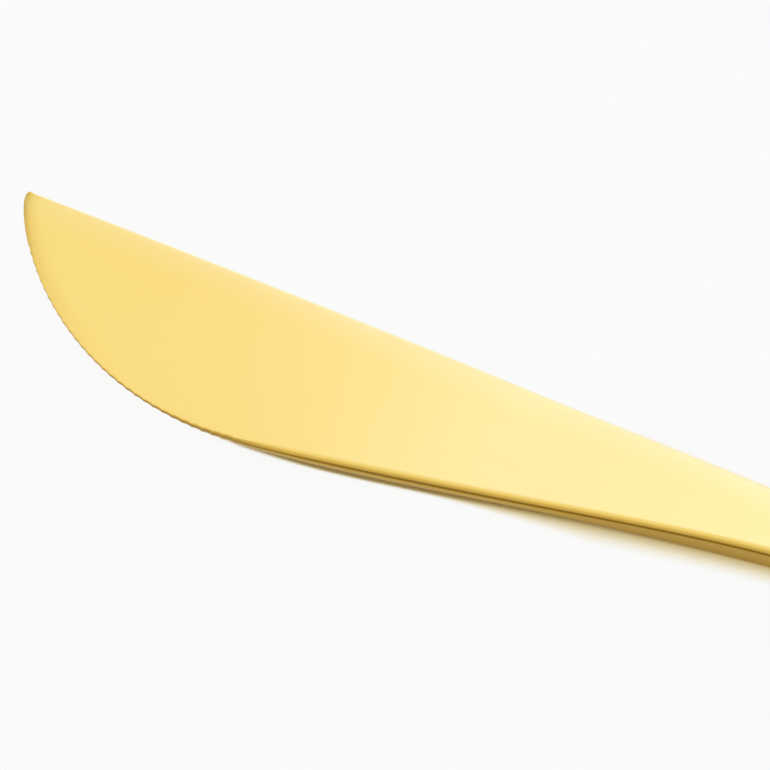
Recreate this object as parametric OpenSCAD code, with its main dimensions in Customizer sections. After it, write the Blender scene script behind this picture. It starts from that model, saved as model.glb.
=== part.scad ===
// Slim table knife with a hollow handle, lying on its flat side.
// The blade points along -X, the spine faces +Y and +Z is up.
// The origin is on the flat underside of the handle, midway along it.
// Inside the modules, x is the distance from the tip, y the height above
// the chord of the spine and z the height above the middle plane.

/* [Whole knife] */
// Length from the tip to the butt
knife_l = 230; // [215:1:245]
// Length of the blade and its neck, in front of the handle
blade_l = 118; // [112:1:128]
// Thickness of the neck and the handle
handle_t = 3.95; // [3.7:0.05:4.8]

/* [Blade outline] */
// Greatest width of the blade, at the belly
blade_w = 20.5; // [17:0.1:24]
// Distance from the tip to the belly
belly_x = 32.8; // [28:0.1:38]
// Height of the rounded upper corner of the tip
tip_h = 0.5; // [0.3:0.1:1.3]
// Length of the rounded upper corner of the tip
tip_l = 0.5; // [0.3:0.05:0.9]
// Pull of the front curve down from the tip
tip_pull = 2.5; // [1.2:0.1:3.5]
// Pull of the front curve forward from the belly
belly_pull = 21.7; // [17:0.1:24]
// Pull of the lower curve back from the belly
heel_pull = 16.5; // [12:0.1:22]
// Pull of the lower curve forward from the handle
neck_pull = 24.6; // [16:0.1:28]
// Height of the bow of the spine above its chord
spine_bow = 0.5; // [0:0.05:0.8]

/* [Blade thickness] */
// Thickness of the spine at the tip
tip_t = 0.9; // [0.8:0.05:1.3]
// Thickness of the blade between its taper and the neck
blade_t = 2.4; // [2.2:0.05:2.8]
// Distance from the tip at which the taper reaches that thickness
taper_l = 60; // [44:1:64]
// Length over which the blade thickens into the neck
neck_grow_l = 36; // [24:1:48]
// Length of the neck that has the full thickness
full_neck_l = 15; // [8:1:24]
// Radius of the rounded corners along the blade's spine
spine_r = 0.3; // [0.2:0.05:0.38]
// Radius of the rounded corners of the neck and the handle
round_r = 0.7; // [0.5:0.05:1]

/* [Cutting edge] */
// Thickness left at the cutting edge
edge_t = 0.25; // [0.15:0.05:0.35]
// Width of the rounded bevel beside the cutting edge
bevel_w = 0.2; // [0.15:0.05:1]
// Width of the rounded bevel at the front of the tip
tip_bevel_w = 0.9; // [0.4:0.05:1.2]
// Length over which the tip's bevel narrows to the cutting edge's
tip_bevel_l = 2; // [1:0.1:5]
// Share of the spine's thickness that the ground face keeps at the bevel
grind_share = 0.4; // [0.35:0.05:0.8]
// Distance from the tip at which the grinding starts to fade out
grind_x = 24; // [18:1:30]
// Length over which the grinding fades out into the flat neck
grind_fade_l = 28; // [20:1:40]
// Length of plain edge round the tip, before the first tooth
plain_edge_l = 7; // [5:0.1:9]
// Pitch of the scalloped teeth
tooth_pitch = 1.33; // [1.1:0.01:2]
// Depth of each scallop
tooth_depth = 0.08; // [0.05:0.01:0.25]
// Length of cutting edge from the belly back to the heel
heel_back = 5.7; // [4:0.1:9]
// Length over which the heel swells to a full side face
heel_run = 9; // [5:0.5:12]

/* [Tang] */
// Length of the tang inside the handle
tang_l = 46; // [30:1:54]
// Width of the tang
tang_w = 3.2; // [2.6:0.1:3.3]
// Thickness of the tang
tang_t = 1.8; // [1.4:0.1:1.9]
// Diameter of the keying hole through the tang
key_hole_d = 1.5; // [1:0.1:1.8]
// Distance from the keying hole to the end of the tang
key_hole_back = 6; // [3:0.5:12]

/* [Handle] */
// Width of the neck and of the handle's mouth
neck_w = 6.1; // [5.7:0.1:7]
// Greatest width of the handle, near the butt
butt_w = 9.6; // [8:0.1:12]
// Length of the rounded butt
butt_round_l = 6; // [4.5:0.5:9]
// Side wall of the handle shells
side_wall = 0.95; // [0.7:0.05:1]
// Face wall of the handle shells
face_wall = 0.75; // [0.6:0.05:0.85]
// Thickness of the solder ring between the blade and the handle
solder_t = 0.3; // [0.2:0.05:0.5]

/* [Balance weight] */
// Distance from the end of the tang to the balance weight
weight_gap = 13; // [4:1:24]
// Width of the balance weight
weight_w = 4.2; // [3:0.1:4.4]
// Thickness of the balance weight
weight_t = 1.9; // [1.4:0.1:1.9]
// Distance from the balance weight to the butt
weight_back = 9; // [8:0.5:14]

/* [Fits] */
// Gap all round the filler, the solder ring's window and the weight
bond_gap = 0.05; // [0.02:0.01:0.08]

/* [Hidden] */
// Overrun of cuts past the faces that they open
overrun = 0.5;
// Spacing of the sections along the plain parts of the blade
plain_step = 0.8;
neck_step = 4;
// Spacing of the outline points along the handle
handle_step = 5;
// Steps in each rounded corner, curve, scallop, corner of the tip and butt
arc_n = 4;
curve_n = 40;
scallop_n = 4;
corner_n = 3;
heel_n = 8;
butt_n = 9;
face_n = 3;
round_fn = 48;
// Power of the curve by which the spine thickens from the tip
taper_power = 1.5;
// Power by which the sections crowd together towards the heel
heel_power = 1.5;

mouth_x = blade_l + solder_t;
heel_x = belly_x + heel_back;
full_x = blade_l - full_neck_l;
pocket_h = handle_t / 2 - face_wall;
rest_x = (mouth_x + knife_l) / 2;
steel_gold = "#e0bb5c";
deep_gold = "#caa04a";
solder_grey = "#c9c3b4";
resin_grey = "#6f6a63";
bare_steel = "#9a9da1";

function mix(a, b, s) = a + (b - a) * s;
function clip(s) = max(0, min(1, s));
function ease_out(s) = 1 - pow(1 - clip(s), 2);
function ease_both(s) = pow(clip(s), 2) * (3 - 2 * clip(s));
function unit(v) = v / norm(v);
function left_of(v) = [-v[1], v[0]];
function bezier(p, s) =
    pow(1 - s, 3) * p[0] + 3 * pow(1 - s, 2) * s * p[1]
    + 3 * (1 - s) * s * s * p[2] + pow(s, 3) * p[3];

// Outline of the blade: a bowed spine, a front curve and a lower curve
belly_point = [belly_x, -blade_w];
front_curve = [
    [0, -tip_h],
    [0, -tip_h - tip_pull],
    [belly_x - belly_pull, -blade_w],
    belly_point
];
lower_curve = [
    belly_point,
    [belly_x + heel_pull, -blade_w],
    [blade_l - neck_pull, -neck_w],
    [blade_l, -neck_w]
];
function spine_at(x) = [x, 4 * spine_bow * (x / blade_l) * (1 - x / blade_l)];

// Path of the edge from the tip's corner to the far end of the lower curve,
// with its running length, so that the teeth are evenly spaced along it
edge_path = concat(
    [for (i = [0:curve_n]) bezier(front_curve, i / curve_n)],
    [for (i = [1:2 * curve_n]) bezier(lower_curve, i / (2 * curve_n))]
);
edge_run = [
    for (i = 0, s = 0; i < len(edge_path); i = i + 1, s = s + (i < len(edge_path)
        ? norm(edge_path[i] - edge_path[i - 1]) : 0)) s
];
run_to_x = [for (i = [0:len(edge_path) - 1]) [edge_run[i], edge_path[i][0]]];
run_to_y = [for (i = [0:len(edge_path) - 1]) [edge_run[i], edge_path[i][1]]];
x_to_run = [for (i = [0:len(edge_path) - 1]) [edge_path[i][0], edge_run[i]]];
belly_s = edge_run[curve_n];
heel_s = lookup(heel_x, x_to_run);
function edge_at(s) = [lookup(s, run_to_x), lookup(s, run_to_y)];
function edge_inward(s) =
    left_of(unit(edge_at(s + plain_step / 2) - edge_at(s - plain_step / 2)));

// Spine point that faces the edge point at running length s
function spine_facing(s) =
    spine_at(s < belly_s ? mix(tip_l, belly_x, s / belly_s) : edge_at(s)[0]);

// Thicknesses of the blade, by distance from the tip
function taper(x) = 1 - pow(1 - clip(x / taper_l), taper_power);
function neck_mix(x) = ease_both((x - full_x + neck_grow_l) / neck_grow_l);
function spine_t(x) = mix(mix(tip_t, blade_t, taper(x)), handle_t, neck_mix(x));
function spine_round(x) = mix(spine_r, round_r, clip(x / full_x));
function heel_mix(x) = ease_out((x - heel_x) / heel_run);
function face_t(x) = spine_t(x) * mix(grind_share, 1, ease_both((x - grind_x) / grind_fade_l));
function side_t(x) = mix(edge_t, max(edge_t, face_t(x) - 2 * round_r), heel_mix(x));
function bevel_at(x) = mix(tip_bevel_w, bevel_w, ease_both(x / tip_bevel_l));
function edge_round(x) = mix(bevel_at(x), round_r, heel_mix(x));

// Upper outline of one section, from the spine at 0 to the edge at w, as
// [distance from the spine, height above the middle plane]
function half_section(w, t_spine, r_spine, t_face, t_side, r_edge) = concat(
    [
        for (i = [0:arc_n])
            [r_spine * (1 - cos(90 * i / arc_n)), t_spine / 2 - r_spine * (1 - sin(90 * i / arc_n))]
    ],
    [
        for (i = [1:face_n - 1])
            [mix(r_spine, w - r_edge, i / face_n), mix(t_spine, t_face, i / face_n) / 2]
    ],
    [
        for (i = [0:arc_n])
            [w - r_edge * (1 - sin(90 * i / arc_n)), mix(t_side, t_face, cos(90 * i / arc_n)) / 2]
    ]
);

// One section of the blade as a ring of points, between a point of the spine
// and a point of the edge. The rounded corners shrink where it is narrow, and
// round the tip's corner the blade thins to its edge.
corner_share = 0.3;
function section(spine, edge) =
    let (
        w = norm(edge - spine),
        along = (edge - spine) / w,
        half = half_section(
            w,
            mix(edge_t, spine_t(spine[0]), ease_out(w / tip_w)),
            min(spine_round(spine[0]), w * corner_share),
            face_t(edge[0]),
            side_t(edge[0]),
            min(edge_round(edge[0]), w * corner_share)
        ),
        last = len(half) - 1
    )
    concat(
        [for (i = [0:last]) [spine[0] + along[0] * half[i][0], spine[1] + along[1] * half[i][0], half[i][1]]],
        [for (i = [last:-1:0]) [spine[0] + along[0] * half[i][0], spine[1] + along[1] * half[i][0], -half[i][1]]]
    );

// Pairs of spine and edge points, from the tip's corner to the neck's end
tip_centre = [tip_l, -tip_h];
tip_rise = spine_at(tip_l)[1] + tip_h;
tip_w = norm([tip_l, tip_rise]);
corner_pairs = [
    for (i = [0:corner_n - 1])
        let (a = 45 * (i + 1 / corner_n) / corner_n)
        [
            tip_centre + [tip_l * cos(135 - a), tip_rise * sin(135 - a)],
            tip_centre + [tip_l * cos(135 + a), tip_rise * sin(135 + a)]
        ]
];
plain_n = ceil(plain_edge_l / plain_step);
plain_pairs = [
    for (i = [0:plain_n - 1])
        let (s = plain_edge_l * i / plain_n)
        [spine_facing(s), edge_at(s)]
];
tooth_n = floor((heel_s - plain_edge_l) / tooth_pitch);
tooth_pairs = [
    for (i = [0:tooth_n * scallop_n])
        let (
            s = plain_edge_l + i * tooth_pitch / scallop_n,
            depth = tooth_depth * abs(sin(180 * i / scallop_n))
        )
        [spine_facing(s), edge_at(s) + depth * edge_inward(s)]
];
heel_pairs = [
    for (i = [1:heel_n])
        let (x = heel_x + heel_run * pow(i / heel_n, heel_power))
        [spine_at(x), [x, edge_at(lookup(x, x_to_run))[1]]]
];
neck_n = ceil((blade_l - heel_x - heel_run) / neck_step);
neck_pairs = [
    for (i = [1:neck_n])
        let (x = mix(heel_x + heel_run, blade_l, i / neck_n))
        [spine_at(x), [x, edge_at(lookup(x, x_to_run))[1]]]
];
blade_pairs = concat(corner_pairs, plain_pairs, tooth_pairs, heel_pairs, neck_pairs);

// Solid through a row of rings that have the same number of points. Each
// ring runs along one side and back along the other, so that point i faces
// point ring_n - 1 - i, and both end rings are closed by strips.
module skin(rings, flip = false) {
    ring_n = len(rings[0]);
    last = (len(rings) - 1) * ring_n;
    walls = [
        for (k = [0:len(rings) - 2], i = [0:ring_n - 1])
            let (a = k * ring_n + i, b = k * ring_n + (i + 1) % ring_n)
            each [[a, b, b + ring_n], [a, b + ring_n, a + ring_n]]
    ];
    ends = [
        for (i = [0:ring_n / 2 - 2])
            let (j = ring_n - 1 - i)
            each [
                [i, j, i + 1],
                [i + 1, j, j - 1],
                [last + i, last + i + 1, last + j],
                [last + i + 1, last + j - 1, last + j]
            ]
    ];
    faces = concat(walls, ends);
    polyhedron(
        points = [for (ring = rings) each ring],
        faces = flip ? [for (f = faces) [f[2], f[1], f[0]]] : faces
    );
}

// Outline of the handle on one side of its axis, as [x, half width]
swell_x = knife_l - butt_round_l;
swell_n = ceil((swell_x - mouth_x) / handle_step);
handle_side = concat(
    [
        for (i = [0:swell_n])
            [mix(mouth_x, swell_x, i / swell_n), mix(neck_w, butt_w, ease_both(i / swell_n)) / 2]
    ],
    [
        for (i = [1:butt_n])
            let (a = 90 * i / (butt_n + 1 / 2))
            [swell_x + butt_round_l * sin(a), butt_w / 2 * cos(a)]
    ]
);
side_n = len(handle_side);
function handle_tangent(i) =
    i == 0 ? [1, 0]
    : i == side_n - 1 ? unit([handle_side[i][0], -handle_side[i][1]] - handle_side[i - 1])
    : unit(handle_side[i + 1] - handle_side[i - 1]);
function handle_outline(inset) =
    let (side = [for (i = [0:side_n - 1]) handle_side[i] - inset * left_of(handle_tangent(i))])
    concat(side, [for (i = [side_n - 1:-1:0]) [side[i][0], -side[i][1]]]);
function at_height(points, z) = [for (p = points) [p[0], p[1], z]];

// Places what is drawn from the tip in the knife's own frame
module from_tip() {
    translate([-rest_x, neck_w / 2, handle_t / 2]) children();
}

// Places what is drawn along the handle's axis
module on_axis() {
    translate([0, -neck_w / 2, 0]) children();
}

// Flat bar on the handle's axis, from x_start on, grown all round
module bar(x_start, l, w, t, grow = 0) {
    on_axis() translate([x_start - grow, -w / 2 - grow, -t / 2 - grow])
        cube([l + 2 * grow, w + 2 * grow, t + 2 * grow]);
}

// Round rod through the tang's keying hole, shrunk by a gap
module key_rod(gap = 0) {
    on_axis() translate([blade_l + tang_l - key_hole_back, 0, 0])
        cylinder(h = handle_t, d = key_hole_d - 2 * gap, center = true, $fn = round_fn);
}

// Pocket inside both shells, shrunk by a gap and run out past the mouth
module pocket(gap = 0, out = 0) {
    outline = handle_outline(side_wall + gap);
    mouth = [[mouth_x - out, outline[0][1]]];
    mouth_below = [[mouth_x - out, -outline[0][1]]];
    on_axis() translate([0, 0, gap - pocket_h])
        linear_extrude(2 * (pocket_h - gap))
            polygon(concat(mouth, outline, mouth_below));
}

module blade() {
    color(steel_gold) from_tip() difference() {
        union() {
            skin([for (p = blade_pairs) section(p[0], p[1])], flip = true);
            bar(blade_l - overrun, tang_l + overrun, tang_w, tang_t);
        }
        key_rod();
    }
}

// End section of the neck as a flat outline, in the plane across the knife
module neck_outline() {
    ring = section(spine_at(blade_l), [blade_l, -neck_w]);
    polygon([for (p = ring) [p[1], p[2]]]);
}

module solder_ring() {
    color(solder_grey) from_tip() difference() {
        translate([blade_l, 0, 0]) rotate([90, 0, 90])
            linear_extrude(solder_t) neck_outline();
        bar(blade_l - overrun, solder_t + 2 * overrun, tang_w + 2 * bond_gap, tang_t + 2 * bond_gap);
    }
}

// Half shell above the middle plane, with its corners rounded in layers
module shell_half() {
    layers = concat(
        [at_height(handle_outline(0), 0)],
        [
            for (i = [0:arc_n])
                at_height(
                    handle_outline(round_r * (1 - cos(90 * i / arc_n))),
                    handle_t / 2 - round_r * (1 - sin(90 * i / arc_n))
                )
        ]
    );
    difference() {
        on_axis() skin(layers);
        pocket(out = overrun);
    }
}

module handle_upper_shell() {
    color(steel_gold) from_tip() shell_half();
}

module handle_lower_shell() {
    color(deep_gold) from_tip() mirror([0, 0, 1]) shell_half();
}

module handle_filler() {
    color(resin_grey) from_tip() difference() {
        pocket(gap = bond_gap);
        difference() {
            bar(blade_l, tang_l, tang_w, tang_t, grow = bond_gap);
            key_rod(gap = bond_gap);
        }
        weight_bar(grow = bond_gap);
    }
}

// Balance weight between the tang and the butt, grown all round
module weight_bar(grow = 0) {
    weight_x = blade_l + tang_l + weight_gap;
    bar(weight_x, knife_l - weight_back - weight_x, weight_w, weight_t, grow);
}

module balance_weight() {
    color(bare_steel) from_tip() weight_bar();
}

blade();
solder_ring();
handle_upper_shell();
handle_lower_shell();
handle_filler();
balance_weight();
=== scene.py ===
"""A slim satin gold table knife, lying on its flat side on a white floor.

The blade, its neck and its tang are one piece. Two half shells, a solder
seam, a resin filling and a steel weight make the hollow handle. Sizes are in
millimetres; inside the pieces, x is the distance from the tip, y the height
above the spine's chord and z the height above the middle plane.
"""

import logging
import math
from bisect import bisect_right
from dataclasses import dataclass, field
from enum import Enum

import bmesh
import bpy
from mathutils import Matrix, Vector


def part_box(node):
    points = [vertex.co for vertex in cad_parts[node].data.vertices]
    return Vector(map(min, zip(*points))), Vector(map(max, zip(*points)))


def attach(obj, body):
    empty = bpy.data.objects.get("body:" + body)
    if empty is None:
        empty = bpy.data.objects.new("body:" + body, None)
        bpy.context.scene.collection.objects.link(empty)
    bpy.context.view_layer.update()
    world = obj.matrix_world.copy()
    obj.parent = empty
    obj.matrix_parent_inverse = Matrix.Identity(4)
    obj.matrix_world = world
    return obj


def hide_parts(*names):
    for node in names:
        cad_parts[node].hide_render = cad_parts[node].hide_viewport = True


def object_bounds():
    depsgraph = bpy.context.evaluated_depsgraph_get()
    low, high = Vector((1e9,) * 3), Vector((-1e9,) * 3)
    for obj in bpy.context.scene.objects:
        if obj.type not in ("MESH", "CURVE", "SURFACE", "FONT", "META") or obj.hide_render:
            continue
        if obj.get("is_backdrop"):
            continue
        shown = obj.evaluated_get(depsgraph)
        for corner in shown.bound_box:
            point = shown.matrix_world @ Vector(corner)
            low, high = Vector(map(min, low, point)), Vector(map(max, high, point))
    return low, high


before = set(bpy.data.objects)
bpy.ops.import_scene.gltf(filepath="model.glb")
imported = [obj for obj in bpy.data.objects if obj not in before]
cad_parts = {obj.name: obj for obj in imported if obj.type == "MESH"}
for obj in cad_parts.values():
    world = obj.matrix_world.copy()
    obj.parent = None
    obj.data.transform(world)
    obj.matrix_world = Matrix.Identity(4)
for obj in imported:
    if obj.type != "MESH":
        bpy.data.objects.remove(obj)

Point = tuple[float, float]
Spot = tuple[float, float, float]
Ring = list[Spot]
Colour = tuple[float, float, float]
Stops = tuple[tuple[float, Colour], ...]
Piece = bpy.types.Object
Socket = bpy.types.NodeSocket
Feed = Socket | float | Colour | Vector

# One millimetre, in metres
MM = 0.001
# How far a cutter runs past what it cuts, in millimetres
OVERRUN = 0.5
# Values between which the noise mostly lies
NOISE_SPAN = (0.3, 0.7)
# Place of a level face among the stops of the gold
LEVEL_STOP = 0.5
# Name of the mark that says how much painted shade a point of the blade carries
SHADE_MARK = "painted_shade_mark"
# Share of painted shade up to which the gold is darkened by the shade tint, and past which it turns to
# the painted dark line
SHADE_TINT_SHARE = 0.4
# Shares of the painted dark line, painted shade along the crease, at the last points of a section's
# upper side
PAINTED_LINE_SHARES = (0.35, 0.6, 0.85, 1.0, 1.0, 1.0, 0.88, 0.1)

log = logging.getLogger("table_knife")


def mix(low: float, high: float, share: float) -> float:
    """Returns the value that lies a share of the way from low to high."""
    return low + (high - low) * share


def clip(share: float) -> float:
    """Returns the share, kept between 0 and 1."""
    return max(0.0, min(1.0, share))


def ease_out(share: float) -> float:
    """Returns a share that starts fast and arrives gently."""
    return 1.0 - (1.0 - clip(share)) ** 2


def ease_both(share: float) -> float:
    """Returns a share that starts and arrives gently."""
    return clip(share) ** 2 * (3.0 - 2.0 * clip(share))


def steps(count: int, first: int = 0) -> list[float]:
    """Returns the shares first/count to count/count."""
    return [i / count for i in range(first, count + 1)]


def bezier(points: list[Point], share: float) -> Point:
    """Finds a place on a cubic curve.

    Args:
        points: The curve's start, its two pulls and its end.
        share: How far along the curve, from 0 to 1.

    Returns:
        The place as (x, y).
    """
    weights = [math.comb(3, i) * (1.0 - share) ** (3 - i) * share ** i for i in range(4)]
    return (
        sum(w * p[0] for w, p in zip(weights, points)),
        sum(w * p[1] for w, p in zip(weights, points)),
    )


def read_off(table: list[Point], value: float) -> float:
    """Reads a rising table of (key, result) at a value between its keys.

    Args:
        table: Pairs in rising order of their keys.
        value: The key to read at.

    Returns:
        The result, on the straight line between the two nearest pairs.
    """
    keys = [pair[0] for pair in table]
    i = min(max(bisect_right(keys, value), 1), len(table) - 1)
    (x_0, y_0), (x_1, y_1) = table[i - 1], table[i]
    return y_0 if x_1 == x_0 else y_0 + (y_1 - y_0) * clip((value - x_0) / (x_1 - x_0))


@dataclass
class EdgePath:
    """The line of the edge, which can be walked at an even pace.

    Attributes:
        points: Close points along the edge, from the tip to the handle.
        run_to_x: Distance from the tip at each running length.
        run_to_y: Height above the spine's chord at each running length.
        x_to_run: Running length at each distance from the tip.
    """

    points: list[Point]
    run_to_x: list[Point] = field(init=False)
    run_to_y: list[Point] = field(init=False)
    x_to_run: list[Point] = field(init=False)

    def __post_init__(self) -> None:
        """Measures the running length at each point."""
        runs = [0.0]
        for a, b in zip(self.points, self.points[1:]):
            runs.append(runs[-1] + math.dist(a, b))
        self.run_to_x = [(r, p[0]) for r, p in zip(runs, self.points)]
        self.run_to_y = [(r, p[1]) for r, p in zip(runs, self.points)]
        self.x_to_run = [(p[0], r) for r, p in zip(runs, self.points)]

    def at(self, run: float) -> Point:
        """Returns the point at a running length."""
        return read_off(self.run_to_x, run), read_off(self.run_to_y, run)

    def run_at(self, x: float) -> float:
        """Returns the running length at a distance from the tip."""
        return read_off(self.x_to_run, x)

    def pushed_in(self, run: float, depth: float) -> Point:
        """Finds the point that lies inside the edge.

        Args:
            run: Running length along the edge.
            depth: Distance in from the edge.

        Returns:
            The point as (x, y).
        """
        # The edge's direction is read between two points, this far to either side
        reach = 0.3
        a, b = self.at(run - reach), self.at(run + reach)
        length = math.dist(a, b)
        x, y = self.at(run)
        return x - depth * (b[1] - a[1]) / length, y + depth * (b[0] - a[0]) / length


@dataclass
class KnifeSizes:
    """Sizes that the pieces of the knife share, in millimetres.

    Attributes:
        neck_w: Width of the neck and of the handle's mouth.
        round_r: Radius of the rounded corners of the neck and the handle.
        solder_t: Thickness of the solder between the neck and the handle.
        bond_gap: Gap between the solder and the tang.
        tip_x: Place of the tip along the frame.
        butt_x: Place of the butt along the frame.
        thickness: Thickness of the neck and of the handle.
        blade_l: Distance from the tip to the solder.
    """

    neck_w: float = 6.1
    round_r: float = 0.7
    solder_t: float = 0.3
    bond_gap: float = 0.05
    tip_x: float = field(init=False)
    butt_x: float = field(init=False)
    thickness: float = field(init=False)
    blade_l: float = field(init=False)

    def __post_init__(self) -> None:
        """Reads the knife's length and thickness from the frame."""
        low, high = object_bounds()
        self.tip_x = low[0] / MM
        self.butt_x = high[0] / MM
        self.thickness = (high[2] - low[2]) / MM
        self.blade_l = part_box("solder_ring")[0][0] / MM - self.tip_x

    @property
    def mouth_x(self) -> float:
        """Distance from the tip to the handle's mouth."""
        return self.blade_l + self.solder_t

    @property
    def knife_l(self) -> float:
        """Length from the tip to the butt."""
        return self.butt_x - self.tip_x

    def place(self, spot: Spot) -> Vector:
        """Returns a spot drawn from the tip as a place in the frame, in metres."""
        return Vector((
            spot[0] + self.tip_x,
            spot[1] + self.neck_w / 2,
            spot[2] + self.thickness / 2,
        )) * MM


def corner_arc(radius: float, count: int) -> list[Point]:
    """Walks round a corner from upright to level.

    Args:
        radius: Radius of the corner.
        count: Number of steps.

    Returns:
        Pairs of (how far in, how far below the top).
    """
    angles = [math.pi / 2 * share for share in steps(count)]
    return [(radius * (1 - math.cos(a)), radius * (1 - math.sin(a))) for a in angles]


def skin(mesh: bmesh.types.BMesh, rings: list[list[Vector]]) -> None:
    """Covers a row of rings with faces and closes both ends.

    Each ring runs out along one side and back along the other, so that its
    first point faces its last.

    Args:
        mesh: The mesh to add to.
        rings: Rings with the same number of points.
    """
    rows = [[mesh.verts.new(p) for p in ring] for ring in rings]
    count = len(rows[0])
    for row, following in zip(rows, rows[1:]):
        for i in range(count):
            j = (i + 1) % count
            mesh.faces.new((row[i], row[j], following[j], following[i]))
    for row in (rows[0], rows[-1]):
        for i in range(count // 2 - 1):
            j = count - 1 - i
            mesh.faces.new((row[i], row[i + 1], row[j - 1], row[j]))
    bmesh.ops.recalc_face_normals(mesh, faces=mesh.faces)


def add_object(name: str, data: bpy.types.ID) -> Piece:
    """Puts a mesh, lamp or camera into the scene and returns its object."""
    added = bpy.data.objects.new(name, data)
    bpy.context.scene.collection.objects.link(added)
    return added


def make_piece(name: str, mesh: bmesh.types.BMesh) -> Piece:
    """Turns a finished mesh into an object of the scene.

    Args:
        name: Name of the piece.
        mesh: The mesh, which is freed.

    Returns:
        The new object.
    """
    data = bpy.data.meshes.new(name)
    mesh.to_mesh(data)
    mesh.free()
    return add_object(name, data)


def apply_modifier(piece: Piece, modifier: bpy.types.Modifier) -> None:
    """Applies one modifier of a piece to its mesh."""
    with bpy.context.temp_override(object=piece, active_object=piece, selected_objects=[piece]):
        bpy.ops.object.modifier_apply(modifier=modifier.name)


class Join(Enum):
    """How another solid is combined with a piece."""

    ADD = "UNION"
    CUT = "DIFFERENCE"


def combine(piece: Piece, other: Piece, way: Join) -> None:
    """Joins another solid to a piece, or cuts it away, and deletes the other.

    Args:
        piece: The piece that stays.
        other: The solid that is used up.
        way: Whether it is added or cut away.
    """
    modifier = piece.modifiers.new(way.name.lower(), "BOOLEAN")
    modifier.operation = way.value
    modifier.object = other
    modifier.solver = "EXACT"
    apply_modifier(piece, modifier)
    bpy.data.objects.remove(other)


def smooth(piece: Piece, sharp_degrees: float = 32.0) -> None:
    """Shades a piece smooth, except across its real edges.

    Args:
        piece: The piece to shade.
        sharp_degrees: Angle from which an edge stays sharp.
    """
    piece.data.shade_smooth()
    piece.data.set_sharp_from_angle(angle=math.radians(sharp_degrees))
    weighted = piece.modifiers.new("even_faces", "WEIGHTED_NORMAL")
    weighted.mode = "FACE_AREA"
    weighted.keep_sharp = True
    apply_modifier(piece, weighted)


class Blending(Enum):
    """How one colour is brought into another."""

    COVER = "MIX"
    DEEPEN = "MULTIPLY"


class Wiring:
    """The nodes of a material or of the world, added and joined by short calls."""

    def __init__(self, owner: bpy.types.ID) -> None:
        """Starts the material or the world with no nodes."""
        owner.use_nodes = True
        self.tree = owner.node_tree
        self.tree.nodes.clear()

    def feed(self, target: Socket, value: Feed) -> None:
        """Links another socket to a socket, or sets a value on it."""
        if isinstance(value, Socket):
            self.tree.links.new(value, target)
        elif target.type == "RGBA":
            target.default_value = (*value, 1.0)
        else:
            target.default_value = value

    def add(
        self, kind: str, feeds: dict[str | int, Feed] | None = None, **settings: object
    ) -> bpy.types.Node:
        """Adds a node.

        Args:
            kind: Blender's name for the node's type.
            feeds: What goes into its inputs, by name or number.
            settings: Properties of the node.

        Returns:
            The new node.
        """
        node = self.tree.nodes.new(kind)
        for key, setting in settings.items():
            setattr(node, key, setting)
        for key, value in (feeds or {}).items():
            self.feed(node.inputs[key], value)
        return node

    def show(self, surface: Socket, output: str = "ShaderNodeOutputMaterial") -> None:
        """Joins the finished shader to a new output node."""
        self.add(output, {"Surface": surface})

    def coordinates(self, kind: str) -> dict[str, Socket]:
        """Adds coordinates of the surface, split by axis.

        Args:
            kind: "Object" for its place, or "Normal" for the way it faces.

        Returns:
            The sockets of X, Y and Z.
        """
        whole = self.add("ShaderNodeTexCoord").outputs[kind]
        split = self.add("ShaderNodeSeparateXYZ", {"Vector": whole})
        return {axis: split.outputs[axis] for axis in "XYZ"}

    def worked_out(self, operation: str, first: Feed, second: Feed = 0.0) -> Socket:
        """Works out a value from one or two others, as Blender names the operation."""
        return self.add("ShaderNodeMath", {0: first, 1: second}, operation=operation).outputs["Value"]

    def stretched_noise(self, stretch: Spot, scale: float, detail: float) -> Socket:
        """Adds noise that can be drawn out along an axis.

        Args:
            stretch: Scale of the noise along each axis of the object.
            scale: Overall scale of the noise.
            detail: How fine it goes.

        Returns:
            The noise's value socket.
        """
        place = self.add("ShaderNodeTexCoord").outputs["Object"]
        drawn = self.add("ShaderNodeMapping", {"Vector": place, "Scale": stretch}).outputs["Vector"]
        feeds = {"Vector": drawn, "Scale": scale, "Detail": detail}
        return self.add("ShaderNodeTexNoise", feeds).outputs["Fac"]

    def ranged(
        self, value: Socket, low: float, high: float, span: tuple[Feed, Feed] = NOISE_SPAN
    ) -> Socket:
        """Spreads a value between two limits.

        Args:
            value: The value's socket.
            low: Result where the value is low.
            high: Result where the value is high.
            span: The values that count as low and as high.

        Returns:
            The result's socket.
        """
        limits = {"From Min": span[0], "From Max": span[1], "To Min": low, "To Max": high}
        return self.add("ShaderNodeMapRange", {"Value": value, **limits}).outputs["Result"]

    def ramp(self, value: Socket, stops: Stops) -> Socket:
        """Turns a value into a colour.

        Args:
            value: The value's socket.
            stops: Places from 0 to 1, with the colour at each.

        Returns:
            The colour's socket.
        """
        anywhere = 0.5
        node = self.add("ShaderNodeValToRGB", {"Fac": value})
        elements = node.color_ramp.elements
        while len(elements) < len(stops):
            elements.new(anywhere)
        for element, (position, colour) in zip(elements, stops):
            element.position = position
            element.color = (*colour, 1.0)
        return node.outputs["Color"]

    def blended(self, share: Socket, low: Feed, high: Feed, way: Blending = Blending.COVER) -> Socket:
        """Brings one colour into another.

        Args:
            share: The share's socket, from 0 to 1.
            low: The colour at 0.
            high: The colour that comes in, linear where it is set.
            way: How it comes in.

        Returns:
            The resulting colour's socket.
        """
        feeds = {"Factor": share, "A": low, "B": high}
        node = self.add("ShaderNodeMix", feeds, data_type="RGBA", blend_type=way.value)
        return node.outputs["Result"]


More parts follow.
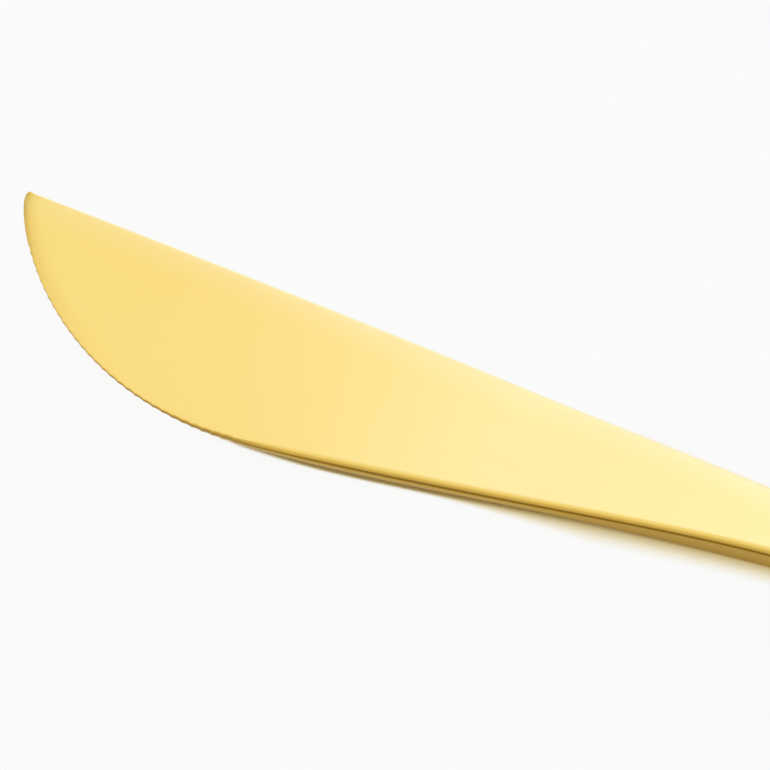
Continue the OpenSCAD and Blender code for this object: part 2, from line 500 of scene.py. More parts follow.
@dataclass(frozen=True)
class SatinGold:
    """Gold coat over brushed steel, with painted shade where it turns to the edge's side and a painted
    highlight where it turns to the spine's side.

    Attributes:
        name: Name of the material.
        face: Colour of the brushed faces, linear.
        cloud: Colour in the deeper clouds of the faces, linear.
        front: Stops of painted shade for surfaces tilted to the edge's side, upright at 0 and level at
            0.5.
        back: Stops of painted highlight for surfaces tilted to the spine's side, level or upright at
            0.5.
        shade_tint: Tint of the painted shade beside the edge and at the tip, linear.
        crease: Colour of the painted dark line, painted shade along the crease, linear.
        roughness: Lowest and highest roughness between the brush lines.
        grain_stretch: Scale of the brush lines along each axis of the knife.
        grain_per_m: Brush lines to the metre, across the knife.
        grain_detail: How fine the brush lines go.
        grain_depth: Depth of the brush lines, in metres.
        cloud_stretch: Scale of the clouds along each axis of the knife.
        clouds_per_m: Clouds to the metre.
        cloud_detail: How fine the clouds go.
        cloud_share: Least and greatest share of the clouds' colour.
        painted_light_band: Places across the knife, in metres, where the paler band of painted light
            beside the spine ends and is full.
    """

    name: str
    face: Colour = (0.985, 0.785, 0.32)
    cloud: Colour = (0.985, 0.745, 0.235)
    # Painted shade: the side's tan, the dark line and the darker rolled corner, by how far the surface
    # tilts to the edge's side
    front: Stops = (
        (0.00, (0.50, 0.325, 0.068)),
        (0.14, (0.53, 0.33, 0.055)),
        (0.25, (0.76, 0.49, 0.095)),
        (0.385, (0.93, 0.66, 0.16)),
        (0.47, (0.97, 0.74, 0.22)),
    )
    # Painted highlight on the rounded corner beside the spine
    back: Stops = (
        (0.60, (1.0, 0.89, 0.48)),
    )
    shade_tint: Colour = (0.91, 0.86, 0.72)
    crease: Colour = (0.235, 0.12, 0.0)
    roughness: Point = (0.30, 0.35)
    grain_stretch: Spot = (0.012, 1.0, 1.0)
    grain_per_m: float = 9000.0
    grain_detail: float = 2.0
    grain_depth: float = 0.000002
    cloud_stretch: Spot = (0.6, 1.0, 1.0)
    clouds_per_m: float = 26.0
    cloud_detail: float = 1.0
    cloud_share: Point = (0.4, 1.0)
    painted_light_band: Point = (-0.0005, 0.003)

    def make(self) -> bpy.types.Material:
        """Builds the material and returns it."""
        material = bpy.data.materials.new(self.name)
        wiring = Wiring(material)
        grain = wiring.stretched_noise(self.grain_stretch, self.grain_per_m, self.grain_detail)
        bump = wiring.add("ShaderNodeBump", {
            "Strength": 1.0, "Distance": self.grain_depth, "Height": grain,
        })
        shader = wiring.add("ShaderNodeBsdfPrincipled", {
            "Metallic": 1.0,
            "Base Color": self.colour(wiring),
            "Roughness": wiring.ranged(grain, *self.roughness),
            "Normal": bump.outputs["Normal"],
        })
        wiring.show(shader.outputs["BSDF"])
        return material

    def colour(self, wiring: Wiring) -> Socket:
        """Adds the colour: clouded on the faces, with painted shade on the sides, a painted dark line in
        the crease and a painted highlight on the spine's corner.

        Args:
            wiring: The material's nodes.

        Returns:
            The colour's socket.
        """
        # The gold is painted darker as the surface tilts to the edge's side and paler on the spine's
        # rounded corner: painted shade and painted highlight
        facing = wiring.coordinates("Normal")
        level = wiring.worked_out("ABSOLUTE", facing["Z"])
        to_spine = wiring.worked_out("MAXIMUM", facing["Y"], 0.0)
        tilt = wiring.ranged(wiring.worked_out("ADD", level, to_spine), 0.0, 1.0, (0.0, 2.0))
        plain, deep = (
            wiring.ramp(tilt, (*self.front, (LEVEL_STOP, flat), *self.back))
            for flat in (self.face, self.cloud)
        )
        clouds = wiring.stretched_noise(self.cloud_stretch, self.clouds_per_m, self.cloud_detail)
        # Beside the spine the deeper clouds fade out, leaving a paler band of painted light
        past_light_band = wiring.ranged(wiring.coordinates("Object")["Y"], 1.0, 0.0, self.painted_light_band)
        share = wiring.worked_out("MULTIPLY", wiring.ranged(clouds, *self.cloud_share), past_light_band)
        colour = wiring.blended(share, plain, deep)
        # Painted shade along the tip and the edge's rim, then the painted dark line along the crease
        mark = wiring.add("ShaderNodeAttribute", attribute_name=SHADE_MARK).outputs["Fac"]
        shade_tint_share = wiring.ranged(mark, 0.0, 1.0, (0.0, SHADE_TINT_SHARE))
        painted_line_share = wiring.ranged(mark, 0.0, 1.0, (SHADE_TINT_SHARE, 1.0))
        colour = wiring.blended(shade_tint_share, colour, self.shade_tint, Blending.DEEPEN)
        return wiring.blended(painted_line_share, colour, self.crease)


@dataclass(frozen=True)
class PlainFill:
    """A hidden filling or bar, with a mottled surface.

    Attributes:
        name: Name of the material.
        dark: Darker colour of the mottling, linear.
        light: Lighter colour of the mottling, linear.
        metallic: 1 for a metal, 0 for resin.
        roughness: Lowest and highest roughness.
        mottles_per_m: Mottles to the metre.
        mottle_detail: How fine the mottling goes.
    """

    name: str
    dark: Colour
    light: Colour
    metallic: float
    roughness: Point
    mottles_per_m: float = 700.0
    mottle_detail: float = 4.0

    def make(self) -> bpy.types.Material:
        """Builds the material and returns it."""
        material = bpy.data.materials.new(self.name)
        wiring = Wiring(material)
        mottle = wiring.stretched_noise((1.0, 1.0, 1.0), self.mottles_per_m, self.mottle_detail)
        shader = wiring.add("ShaderNodeBsdfPrincipled", {
            "Metallic": self.metallic,
            "Base Color": wiring.blended(mottle, self.dark, self.light),
            "Roughness": wiring.ranged(mottle, *self.roughness),
        })
        wiring.show(shader.outputs["BSDF"])
        return material


BLADE_GOLD = SatinGold("blade_gold")
HANDLE_GOLD = SatinGold("handle_gold")
SEAM_GOLD = SatinGold(
    "seam_gold", face=(0.91, 0.70, 0.25), cloud=(0.91, 0.69, 0.21), roughness=(0.34, 0.42)
)
FILLER_RESIN = PlainFill("filler_resin", (0.12, 0.11, 0.10), (0.17, 0.155, 0.14), 0.0, (0.55, 0.7))
WEIGHT_STEEL = PlainFill("weight_steel", (0.30, 0.31, 0.32), (0.40, 0.41, 0.42), 1.0, (0.4, 0.55))


def coat(piece: Piece, material: bpy.types.Material) -> None:
    """Gives a piece one material all over."""
    piece.data.materials.clear()
    piece.data.materials.append(material)


def dress(piece: Piece, material: bpy.types.Material, body: str = "root") -> None:
    """Gives a new piece its finish and the body it rides on.

    Args:
        piece: The piece.
        material: Its material.
        body: The body that carries it.
    """
    coat(piece, material)
    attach(piece, body)


@dataclass
class Blade:
    """Blade, neck and tang in one piece of steel.

    Attributes:
        sizes: Sizes shared with the other pieces.
        width: Greatest width, at the belly.
        belly_x: Distance from the tip to the belly.
        tip_h: Height of the rounded upper corner of the tip.
        tip_l: Length of the rounded upper corner of the tip.
        tip_pull: Pull of the front curve down from the tip.
        belly_pull: Pull of the front curve forward from the belly.
        heel_pull: Pull of the lower curve back from the belly.
        neck_pull: Pull of the lower curve forward from the handle.
        spine_bow: Height of the spine's bow above its chord.
        tip_t: Thickness of the spine at the tip.
        blade_t: Thickness of the blade between its taper and the neck.
        taper_l: Distance from the tip at which the taper reaches that thickness.
        neck_grow_l: Length over which the blade thickens into the neck.
        full_neck_l: Length of neck that has the full thickness.
        spine_r: Radius of the corners along the blade's spine.
        edge_t: Thickness left at the cutting edge.
        bevel_w: Width of the rounded bevel beside the edge.
        tip_bevel_w: Width of the rounded bevel at the front of the tip.
        tip_bevel_l: Length over which the tip's bevel narrows to the edge's.
        grind_share: Share of the spine's thickness left at the bevel.
        grind_x: Distance from the tip at which the grinding starts to fade.
        grind_fade_l: Length over which the grinding fades out.
        plain_edge_l: Length of plain edge round the tip.
        tooth_pitch: Pitch of the scalloped teeth.
        tooth_depth: Depth of each scallop.
        crease_h: Height of the crease under the upper rolled corner.
        crease_d: Depth of the crease.
        crease_l: Length over which the crease fades in behind the heel.
        crease_steps: Steps down the crease, as shares of its height and of its depth.
        painted_line_x: Distance from the tip at which the painted dark line beside the edge starts.
        painted_line_l: Length over which the painted line gets its full darkness.
        tip_shade: Depth of painted shade added along the front of the tip.
        tip_shade_w: Width over which it fades in from the edge.
        tip_shade_l: Length over which it fades back from the tip.
        rim_shade: Depth of painted shade added along the front of the edge.
        rim_shade_w: Width of that rim of painted shade.
        rim_shade_l: Length over which that rim fades.
        heel_back: Distance from the belly back to the heel.
        heel_run: Length over which the heel swells to a full side face.
        heel_power: Power by which the sections spread out behind the heel.
        taper_power: Power by which the spine thickens from the tip.
        tang_l: Length of the tang.
        tang_w: Width of the tang.
        tang_t: Thickness of the tang.
        key_hole_d: Diameter of the keying hole.
        key_hole_back: Distance from the hole to the tang's end.
        path: Line of the edge and of the neck's lower side.
    """

    sizes: KnifeSizes
    width: float = 20.49
    belly_x: float = 32.8
    tip_h: float = 0.5
    tip_l: float = 0.5
    tip_pull: float = 2.5
    belly_pull: float = 21.7
    heel_pull: float = 16.5
    neck_pull: float = 24.6
    spine_bow: float = 0.5
    tip_t: float = 0.9
    blade_t: float = 2.4
    taper_l: float = 60.0
    neck_grow_l: float = 36.0
    full_neck_l: float = 15.0
    spine_r: float = 0.3
    edge_t: float = 0.25
    bevel_w: float = 0.2
    tip_bevel_w: float = 0.9
    tip_bevel_l: float = 2.0
    grind_share: float = 0.4
    grind_x: float = 24.0
    grind_fade_l: float = 28.0
    plain_edge_l: float = 7.0
    tooth_pitch: float = 1.33
    tooth_depth: float = 0.08
    crease_h: float = 0.5
    crease_d: float = 0.1
    crease_l: float = 6.0
    crease_steps: tuple[Point, ...] = ((0.25, 0.5), (0.5, 1.0), (0.75, 0.5), (1.0, 0.0))
    painted_line_x: float = 5.0
    painted_line_l: float = 24.0
    tip_shade: float = 0.28
    tip_shade_w: float = 1.3
    tip_shade_l: float = 10.0
    rim_shade: float = 0.38
    rim_shade_w: float = 2.8
    rim_shade_l: float = 24.0
    heel_back: float = 5.7
    heel_run: float = 9.0
    heel_power: float = 1.5
    taper_power: float = 1.5
    tang_l: float = 46.0
    tang_w: float = 3.2
    tang_t: float = 1.8
    key_hole_d: float = 1.5
    key_hole_back: float = 6.0
    path: EdgePath = field(init=False)

    def __post_init__(self) -> None:
        """Draws the line of the edge and of the neck's lower side."""
        belly = (self.belly_x, -self.width)
        length, neck_w = self.sizes.blade_l, self.sizes.neck_w
        front = [(0.0, -self.tip_h), (0.0, -self.tip_h - self.tip_pull),
                 (self.belly_x - self.belly_pull, -self.width), belly]
        lower = [belly, (self.belly_x + self.heel_pull, -self.width),
                 (length - self.neck_pull, -neck_w), (length, -neck_w)]
        curve_n = 160
        self.path = EdgePath(
            [bezier(front, share) for share in steps(curve_n)]
            + [bezier(lower, share) for share in steps(2 * curve_n, 1)]
        )

    @property
    def heel_x(self) -> float:
        """Distance from the tip to the heel."""
        return self.belly_x + self.heel_back

    @property
    def full_x(self) -> float:
        """Distance from the tip to the part of full thickness."""
        return self.sizes.blade_l - self.full_neck_l

    def spine_at(self, x: float) -> Point:
        """Returns the spine's point at a distance from the tip."""
        share = x / self.sizes.blade_l
        return x, 4 * self.spine_bow * share * (1 - share)

    def spine_facing(self, run: float) -> Point:
        """Returns the spine's point that faces a running length of the edge."""
        belly_run = self.path.run_at(self.belly_x)
        if run >= belly_run:
            return self.spine_at(self.path.at(run)[0])
        return self.spine_at(mix(self.tip_l, self.belly_x, run / belly_run))

    def spine_t(self, x: float) -> float:
        """Returns the spine's thickness at a distance from the tip."""
        taper = 1 - (1 - clip(x / self.taper_l)) ** self.taper_power
        grown = ease_both((x - self.full_x + self.neck_grow_l) / self.neck_grow_l)
        return mix(mix(self.tip_t, self.blade_t, taper), self.sizes.thickness, grown)

    def heel_mix(self, x: float) -> float:
        """Returns how far the heel has swollen, from 0 to 1."""
        return ease_out((x - self.heel_x) / self.heel_run)

    def face_t(self, x: float) -> float:
        """Returns the thickness where the face meets the bevel or corner."""
        fade = ease_both((x - self.grind_x) / self.grind_fade_l)
        return self.spine_t(x) * mix(self.grind_share, 1.0, fade)

    def neck_fade(self, x: float) -> float:
        """Returns a share that falls from 1 to 0 along the full neck."""
        return 1 - ease_both((x - self.full_x) / self.full_neck_l)

    def crease_mix(self, x: float) -> float:
        """Returns how far the crease has its full depth, from 0 to 1."""
        return ease_both((x - self.heel_x) / self.crease_l) * self.neck_fade(x)

    def painted_line_mix(self, x: float) -> float:
        """Returns how dark the painted line beside the edge is, from 0 to 1."""
        return ease_both((x - self.painted_line_x) / self.painted_line_l) * self.neck_fade(x)

    def section(self, spine: Point, edge: Point) -> Ring:
        """Draws one section between a spine point and an edge point.

        Args:
            spine: Point of the spine.
            edge: Point of the edge.

        Returns:
            A ring of spots, out along the upper side and back along the lower.
        """
        corner_share, spine_n, face_n, edge_n = 0.3, 8, 18, 14
        span = math.dist(spine, edge)
        along = ((edge[0] - spine[0]) / span, (edge[1] - spine[1]) / span)
        tip_w = math.dist(self.spine_at(self.tip_l), (0.0, -self.tip_h))
        spine_t = mix(self.edge_t, self.spine_t(spine[0]), ease_out(span / tip_w))
        blend = clip(spine[0] / self.full_x)
        spine_r = min(mix(self.spine_r, self.sizes.round_r, blend), span * corner_share)
        heel = self.heel_mix(edge[0])
        face_t = self.face_t(edge[0])
        side_t = mix(self.edge_t, max(self.edge_t, face_t - 2 * self.sizes.round_r), heel)
        bevel = mix(self.tip_bevel_w, self.bevel_w, ease_both(edge[0] / self.tip_bevel_l))
        edge_r = min(mix(bevel, self.sizes.round_r, heel), span * corner_share)
        half = [(inset, spine_t / 2 - drop) for inset, drop in corner_arc(spine_r, spine_n)]
        for share in steps(face_n, 1)[:-1]:
            half.append((mix(spine_r, span - edge_r, share), mix(spine_t, face_t, share) / 2))
        for share in steps(edge_n):
            angle = math.pi / 2 * share
            half.append((
                span - edge_r * (1 - math.sin(angle)),
                mix(side_t, face_t, math.cos(angle)) / 2,
            ))
        crease_h = min(self.crease_h, side_t / 2)
        dents = [0.0] * len(half)
        for down, depth in self.crease_steps:
            half.append((span, side_t / 2 - crease_h * down))
            dents.append(self.crease_d * depth * self.crease_mix(edge[0]))
        upper = [(q - dent, z) for (q, z), dent in zip(half, dents)]
        lower = [(q, -z) for q, z in reversed(half)]
        return [(spine[0] + along[0] * q, spine[1] + along[1] * q, z) for q, z in upper + lower]

    def shade_at(self, edge: Point, inset: float, line: float) -> float:
        """Works out how much painted shade a point of a section carries.

        Args:
            edge: Edge point of the section.
            inset: Distance in from the edge.
            line: Share of the painted dark line that the point carries.

        Returns:
            The painted shade, from 0 for plain gold to 1 for the painted dark line's colour.
        """
        # Painted shade along the front of the tip and along the edge's rim
        tip = self.tip_shade * (1 - clip(inset / self.tip_shade_w)) * (1 - clip(edge[0] / self.tip_shade_l))
        rim = self.rim_shade * (1 - ease_both(inset / self.rim_shade_w)) * (1 - ease_both(edge[0] / self.rim_shade_l))
        return max(line * self.painted_line_mix(edge[0]), clip(tip + rim))

    def mark_shade(self, piece: Piece) -> None:
        """Marks on the blade's points how much painted shade they carry.

        Args:
            piece: The blade before its tang is joined.
        """
        marks: list[float] = []
        for spine, edge in self.pairs():
            ring = self.section(spine, edge)
            lines = [0.0] * (len(ring) // 2 - len(PAINTED_LINE_SHARES)) + list(PAINTED_LINE_SHARES)
            lines += [0.0] * len(lines)
            for spot, line in zip(ring, lines):
                marks.append(self.shade_at(edge, math.dist(edge, spot[:2]), line))
        piece.data.attributes.new(SHADE_MARK, "FLOAT", "POINT").data.foreach_set("value", marks)

    def pairs(self) -> list[tuple[Point, Point]]:
        """Lists the pairs of spine and edge points, from the tip to the neck's end."""
        corner_n, plain_n, scallop_n, heel_n, neck_n = 8, 16, 10, 36, 60
        middle, reach = math.radians(135.0), math.radians(45.0)
        rise = self.spine_at(self.tip_l)[1] + self.tip_h
        found: list[tuple[Point, Point]] = []
        # Both ways round the tip's upper corner, from its middle
        for share in steps(corner_n, 1)[:-1]:
            turn = (middle - reach * share, middle + reach * share)
            found.append(tuple(
                (self.tip_l * (1 + math.cos(a)), rise * math.sin(a) - self.tip_h) for a in turn
            ))
        # Along the plain edge round the tip
        for share in steps(plain_n)[:-1]:
            run = self.plain_edge_l * share
            found.append((self.spine_facing(run), self.path.at(run)))
        # Along the scalloped teeth, which end on a whole tooth before the heel
        tooth_n = int((self.path.run_at(self.heel_x) - self.plain_edge_l) / self.tooth_pitch)
        for i in range(tooth_n * scallop_n + 1):
            run = self.plain_edge_l + self.tooth_pitch * i / scallop_n
            depth = self.tooth_depth * abs(math.sin(math.pi * i / scallop_n))
            found.append((self.spine_facing(run), self.path.pushed_in(run, depth)))
        # Behind the heel, and along the neck
        neck_x = self.heel_x + self.heel_run
        stations = [mix(self.heel_x, neck_x, share ** self.heel_power) for share in steps(heel_n, 1)]
        stations += [mix(neck_x, self.sizes.blade_l, share) for share in steps(neck_n, 1)]
        for x in stations:
            found.append((self.spine_at(x), (x, self.path.at(self.path.run_at(x))[1])))
        return found

    def bar(self, name: str, start: float, length: float, grow: float = 0.0) -> Piece:
        """Makes the tang's flat bar.

        Args:
            name: Name of the object.
            start: Distance from the tip to its front end.
            length: Its length.
            grow: How much wider it is on every side.

        Returns:
            The bar as an object.
        """
        mesh = bmesh.new()
        axis_y = -self.sizes.neck_w / 2
        rings = []
        for x in (start, start + length):
            half_w, half_t = self.tang_w / 2 + grow, self.tang_t / 2 + grow
            corners = [(half_w, half_t), (-half_w, half_t), (-half_w, -half_t), (half_w, -half_t)]
            rings.append([self.sizes.place((x, axis_y + y, z)) for y, z in corners])
        skin(mesh, rings)
        return make_piece(name, mesh)

    def key_rod(self) -> Piece:
        """Makes the round rod that cuts the keying hole, and returns it."""
        rod_n = 48
        mesh = bmesh.new()
        hole_x = self.sizes.blade_l + self.tang_l - self.key_hole_back
        middle = self.sizes.place((hole_x, -self.sizes.neck_w / 2, 0.0))
        radius = self.key_hole_d / 2 * MM
        bmesh.ops.create_cone(
            mesh, cap_ends=True, segments=rod_n, radius1=radius, radius2=radius,
            depth=self.sizes.thickness * MM, matrix=Matrix.Translation(middle),
        )
        return make_piece("key_rod", mesh)

    def build(self) -> Piece:
        """Builds the blade with its tang, which starts inside the neck, and returns it."""
        root_l = 0.5
        mesh = bmesh.new()
        skin(mesh, [[self.sizes.place(s) for s in self.section(a, b)] for a, b in self.pairs()])
        piece = make_piece("table_knife_blade", mesh)
        self.mark_shade(piece)
        combine(piece, self.bar("tang", self.sizes.blade_l - root_l, self.tang_l + root_l), Join.ADD)
        combine(piece, self.key_rod(), Join.CUT)
        smooth(piece)
        dress(piece, BLADE_GOLD.make())
        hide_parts("blade")
        return piece


class Half(Enum):
    """Which half of the handle a shell makes."""

    UPPER = 1
    LOWER = -1


@dataclass
class Handle:
    """Hollow handle of two half shells.

    Attributes:
        sizes: Sizes shared with the other pieces.
        butt_w: Greatest width, near the butt.
        butt_round_l: Length of the rounded butt.
        side_wall: Side wall of the shells.
        face_wall: Face wall of the shells.
    """

    sizes: KnifeSizes
    butt_w: float = 9.6
    butt_round_l: float = 6.0
    side_wall: float = 0.95
    face_wall: float = 0.75

    def side(self) -> list[Point]:
        """Draws one side of the outline, as (x, half width), from mouth to butt."""
        swell_n, butt_n = 72, 40
        swell_x = self.sizes.knife_l - self.butt_round_l
        found = [
            (mix(self.sizes.mouth_x, swell_x, s), mix(self.sizes.neck_w, self.butt_w, ease_both(s)) / 2)
            for s in steps(swell_n)
        ]
        # The round butt stops half a step short of its middle, and the far side goes on from there
        for i in range(1, butt_n + 1):
            angle = math.pi / 2 * i / (butt_n + 0.5)
            x = swell_x + self.butt_round_l * math.sin(angle)
            found.append((x, self.butt_w / 2 * math.cos(angle)))
        return found

    def outline(self, inset: float) -> list[Point]:
        """Draws the whole outline, moved in from the side walls.

        Args:
            inset: Distance in from the outer outline.

        Returns:
            Points out along one side and back along the other.
        """
        side = self.side()
        mirrored = (side[-1][0], -side[-1][1])
        moved = [(side[0][0], side[0][1] - inset)]
        for a, p, b in zip(side, side[1:], side[2:] + [mirrored]):
            step = inset / math.dist(a, b)
            moved.append((p[0] + step * (b[1] - a[1]), p[1] - step * (b[0] - a[0])))
        return moved + [(x, -y) for x, y in reversed(moved)]

    def level(self, points: list[Point], z: float) -> list[Vector]:
        """Returns an outline laid at a height above the middle plane."""
        return [self.sizes.place((x, y - self.sizes.neck_w / 2, z)) for x, y in points]

    def shell(self, half: Half) -> Piece:
        """Builds one half shell with its pocket.

        Args:
            half: Upper or lower half.

        Returns:
            The shell.
        """
        corner_n = 10
        name = f"handle_{half.name.lower()}_shell"
        top = self.sizes.thickness / 2
        heights = [(0.0, 0.0)]
        heights += [(inset, top - drop) for inset, drop in corner_arc(self.sizes.round_r, corner_n)]
        mesh = bmesh.new()
        skin(mesh, [self.level(self.outline(inset), z * half.value) for inset, z in heights])
        piece = make_piece(f"{name}_skin", mesh)
        pocket = self.outline(self.side_wall)
        pocket[0] = (pocket[0][0] - OVERRUN, pocket[0][1])
        pocket[-1] = (pocket[-1][0] - OVERRUN, pocket[-1][1])
        cutter = bmesh.new()
        skin(cutter, [self.level(pocket, z * half.value) for z in (-OVERRUN, top - self.face_wall)])
        combine(piece, make_piece("pocket", cutter), Join.CUT)
        smooth(piece)
        dress(piece, HANDLE_GOLD.make())
        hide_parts(name)
        return piece


@dataclass
class SolderSeam:
    """Ring of solder between the neck and the handle's mouth.

    Attributes:
        blade: The blade whose end section it follows.
    """

    blade: Blade

    def build(self) -> Piece:
        """Builds the ring round the tang and returns it."""
        sizes = self.blade.sizes
        start = sizes.blade_l
        outer = self.blade.section(self.blade.spine_at(start), (start, -sizes.neck_w))
        mesh = bmesh.new()
        ends = (start, sizes.mouth_x)
        skin(mesh, [[sizes.place((x, y, z)) for _, y, z in outer] for x in ends])
        piece = make_piece("solder_seam", mesh)
        window_l = sizes.solder_t + 2 * OVERRUN
        window = self.blade.bar("window", start - OVERRUN, window_l, sizes.bond_gap)
        combine(piece, window, Join.CUT)
        smooth(piece)
        dress(piece, SEAM_GOLD.make())
        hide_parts("solder_ring")
        return piece


class HiddenCore:
    """Filling and weight inside the handle, which keep their CAD shapes."""

    def build(self) -> list[Piece]:
        """Finishes the hidden pieces and returns them."""
        found = []
        for node, finish in (("handle_filler", FILLER_RESIN), ("balance_weight", WEIGHT_STEEL)):
            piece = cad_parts[node]
            coat(piece, finish.make())
            found.append(piece)
        return found


@dataclass(frozen=True)
class SoftBox:
    """One square soft lamp that faces the knife.

    Attributes:
        name: Name of the lamp.
        azimuth: Direction it stands in, in degrees round from the camera's.
        elevation: Height it stands at, in degrees above the floor.
        size: Side of the box, in metres.
        power: Power, in watts.
        colour: Colour of the light.
        distance: Distance from the knife, in metres.
        mirrored: Whether glossy surfaces show it.
    """

    name: str
    azimuth: float
    elevation: float
    size: float
    power: float
    colour: Colour = (1.0, 1.0, 1.0)
    distance: float = 0.9
    mirrored: bool = False

    def build(self, aim: Vector, front: float) -> Piece:
        """Places the lamp.

        Args:
            aim: The place that it faces.
            front: Direction the camera stands in, in degrees.

        Returns:
            The lamp.
        """
        data = bpy.data.lights.new(self.name, "AREA")
        data.shape = "SQUARE"
        data.size = self.size
        data.energy = self.power
        data.color = self.colour
        lamp = add_object(self.name, data)
        lamp.visible_glossy = self.mirrored
        away = view_direction(front + self.azimuth, self.elevation)
        lamp.location = aim + away * self.distance
        lamp.rotation_euler = away.to_track_quat("Z", "Y").to_euler()
        return lamp


def view_direction(azimuth: float, elevation: float) -> Vector:
    """Finds the direction towards a viewer.

    Args:
        azimuth: Degrees round from the front, towards the butt.
        elevation: Degrees above the floor.

    Returns:
        The direction, one metre long.
    """
    a, e = math.radians(azimuth), math.radians(elevation)
    return Vector((math.sin(a) * math.cos(e), -math.cos(a) * math.cos(e), math.sin(e)))


@dataclass(frozen=True)
class Studio:
    """White floor, pale tent, soft lamps and the camera.

    Attributes:
        sizes: Sizes of the knife, from whose tip the places here are measured.
        azimuth: Direction the camera stands in, in degrees round from the front.
        elevation: Height the camera stands at, in degrees above the floor.
        aim: Spot in the middle of the picture, in millimetres.
        lens: Focal length of the camera, in millimetres.
        sensor: Width of its sensor, in millimetres.
        picture: Width of the picture, in pixels.
        pixels_per_mm: Pixels to the millimetre, at the aim.
        nearest: Least distance at which the camera sees, in metres.
        floor_size: Side of the floor, in metres.
        floor_roughness: Roughness of the floor.
        floor_specular: Specular level of the floor.
        floor_white: Strength of the white that the camera and mirrors see in the floor.
        floor_glow: Share of that white in the open floor, where the rest is lit and shaded.
        floor_shadow_stops: Painted contact shadow of the floor, in its lit colour and in its glow, from
            close under the knife at 0 to open at 1, linear.
        contact_n: Samples that measure how open the floor is.
        contact_reach: How far they look beside the heel and beside the neck, in metres.
        heel_contact: Openness that counts as none and as full beside the heel.
        neck_contact: Openness that counts as none and as full beside the neck.
        heel_to_neck: Distances from the tip between which the one gives way to the other.
        sky_strength: Strength of the tent's light.
        sky_stops: Colour of the tent, from behind the knife at 0 to the camera's side at 1, linear.
        boxes: The soft lamps.
    """

    sizes: KnifeSizes
    azimuth: float = 25.5
    elevation: float = 60.0
    aim: Spot = (50.52, -5.75, 0.025)
    lens: float = 200.0
    sensor: float = 36.0
    picture: int = 770
    pixels_per_mm: float = 8.5
    nearest: float = 0.01
    floor_size: float = 6.0
    floor_roughness: float = 0.3
    floor_specular: float = 0.3
    floor_white: float = 0.96
    floor_glow: float = 0.96
    floor_shadow_stops: Stops = (
        (0.00, (0.60, 0.48, 0.21)),
        (0.35, (0.78, 0.67, 0.37)),
        (0.70, (0.95, 0.90, 0.72)),
        (1.00, (1.00, 1.00, 1.00)),
    )
    contact_n: int = 32
    contact_reach: Point = (0.0018, 0.0025)
    heel_contact: Point = (0.52, 0.60)
    neck_contact: Point = (0.25, 1.00)
    heel_to_neck: Point = (60.15, 80.15)
    sky_strength: float = 1.0
    sky_stops: Stops = (
        (0.00, (1.00, 1.00, 1.00)),
        (0.07, (1.00, 1.00, 1.00)),
        (0.18, (0.97, 0.96, 0.92)),
        (0.25, (0.96, 0.94, 0.85)),
        (0.50, (0.93, 0.91, 0.86)),
        (0.75, (0.93, 0.90, 0.84)),
        (0.88, (0.86, 0.82, 0.75)),
        (0.96, (0.74, 0.70, 0.62)),
        (1.00, (0.62, 0.58, 0.50)),
    )
    boxes: tuple[SoftBox, ...] = (
        SoftBox("right_box", 90.0, 47.0, 0.60, 0.6),
        SoftBox("left_box", -120.5, 47.0, 0.60, 0.6),
        SoftBox("back_box", 152.0, 60.0, 0.17, 0.12, (0.33, 0.34, 1.0), 0.4, True),
    )

    def openness(self, wiring: Wiring) -> Socket:
        """Measures how open the floor is, close to the blade and more widely beside the neck.

        Args:
            wiring: The floor's nodes.

        Returns:
            The openness's socket, 0 close under the knife and 1 where the floor is open.
        """
        along = wiring.coordinates("Object")["X"]
        turn = tuple(self.sizes.place((x, 0.0, 0.0)).x for x in self.heel_to_neck)
        reach = wiring.ranged(along, *self.contact_reach, turn)
        contact = wiring.add("ShaderNodeAmbientOcclusion", {"Distance": reach}, samples=self.contact_n)
        none, full = (
            wiring.ranged(along, heel, neck, turn)
            for heel, neck in zip(self.heel_contact, self.neck_contact)
        )
        return wiring.ranged(contact.outputs["AO"], 0.0, 1.0, (none, full))

    def floor_finish(self) -> bpy.types.Material:
        """Builds the floor's white, with a contact shadow painted where the knife stands close over it,
        and returns it.
        """
        material = bpy.data.materials.new("white_floor")
        wiring = Wiring(material)
        openness = self.openness(wiring)
        # The floor's colour and its glow are painted darker and olive where the knife stands close over
        # it: a painted contact shadow
        shadow_tone = wiring.ramp(openness, self.floor_shadow_stops)
        shader = wiring.add("ShaderNodeBsdfPrincipled", {
            "Base Color": shadow_tone,
            "Roughness": self.floor_roughness,
            "Specular IOR Level": self.floor_specular,
        })
        glow = wiring.add("ShaderNodeEmission", {"Color": shadow_tone, "Strength": self.floor_white})
        ray = wiring.add("ShaderNodeLightPath").outputs
        shown = ray["Is Camera Ray"]
        for kind in ("Is Glossy Ray", "Is Transmission Ray"):
            shown = wiring.worked_out("MAXIMUM", shown, ray[kind])
        glow_share = wiring.ranged(openness, 0.0, self.floor_glow, (0.0, 1.0))
        blend = wiring.add("ShaderNodeMixShader", {
            0: wiring.worked_out("MULTIPLY", shown, glow_share),
            1: shader.outputs["BSDF"],
            2: glow.outputs["Emission"],
        })
        wiring.show(blend.outputs["Shader"])
        return material

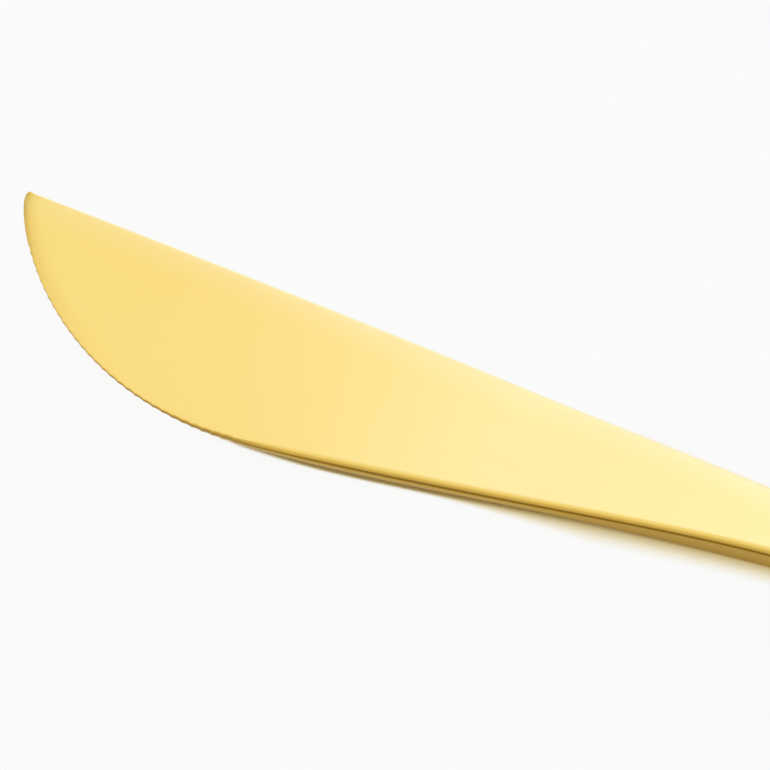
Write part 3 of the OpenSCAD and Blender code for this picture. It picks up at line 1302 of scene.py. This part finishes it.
    def floor(self) -> Piece:
        """Builds the white floor and returns it."""
        mesh = bmesh.new()
        half = self.floor_size / 2
        corners = [(-half, -half), (half, -half), (half, half), (-half, half)]
        mesh.faces.new([mesh.verts.new((x, y, 0.0)) for x, y in corners])
        piece = make_piece("floor", mesh)
        coat(piece, self.floor_finish())
        piece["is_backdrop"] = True
        return piece

    def sky(self) -> None:
        """Lights the scene with a tent that is bright behind and dark in front."""
        world = bpy.data.worlds.new("soft_tent")
        bpy.context.scene.world = world
        wiring = Wiring(world)
        place = wiring.add("ShaderNodeTexCoord").outputs["Generated"]
        front = view_direction(self.azimuth, 0.0)
        towards = wiring.add("ShaderNodeVectorMath", {0: place, 1: front}, operation="DOT_PRODUCT")
        back_to_front = wiring.ranged(towards.outputs["Value"], 0.0, 1.0, (-1.0, 1.0))
        background = wiring.add("ShaderNodeBackground", {
            "Color": wiring.ramp(back_to_front, self.sky_stops), "Strength": self.sky_strength,
        })
        wiring.show(background.outputs["Background"], "ShaderNodeOutputWorld")

    def camera(self) -> Piece:
        """Sets up the camera at the photograph's viewing angle and returns it."""
        distance = self.lens / self.sensor * self.picture / self.pixels_per_mm * MM
        away = view_direction(self.azimuth, self.elevation)
        data = bpy.data.cameras.new("camera")
        data.lens = self.lens
        data.sensor_width = self.sensor
        data.clip_start = self.nearest
        camera = add_object("camera", data)
        camera.location = self.sizes.place(self.aim) + away * distance
        camera.rotation_euler = (math.radians(90 - self.elevation), 0.0, math.radians(self.azimuth))
        bpy.context.scene.camera = camera
        return camera

    def build(self) -> None:
        """Builds the stage and sets how the picture is shown."""
        self.floor()
        self.sky()
        for box in self.boxes:
            box.build(self.sizes.place(self.aim), self.azimuth)
        self.camera()
        bpy.context.scene.view_settings.view_transform = "Standard"


def main() -> None:
    """Builds the knife piece by piece round its frame and dresses the scene."""
    logging.basicConfig(level=logging.INFO, format="%(message)s")
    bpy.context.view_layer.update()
    sizes = KnifeSizes()
    blade = Blade(sizes)
    handle = Handle(sizes)
    pieces = [blade.build(), handle.shell(Half.UPPER), handle.shell(Half.LOWER)]
    pieces.append(SolderSeam(blade).build())
    pieces += HiddenCore().build()
    for piece in pieces:
        log.info("%s: %d faces", piece.name, len(piece.data.polygons))
    Studio(sizes).build()


if __name__ == "__main__":
    main()
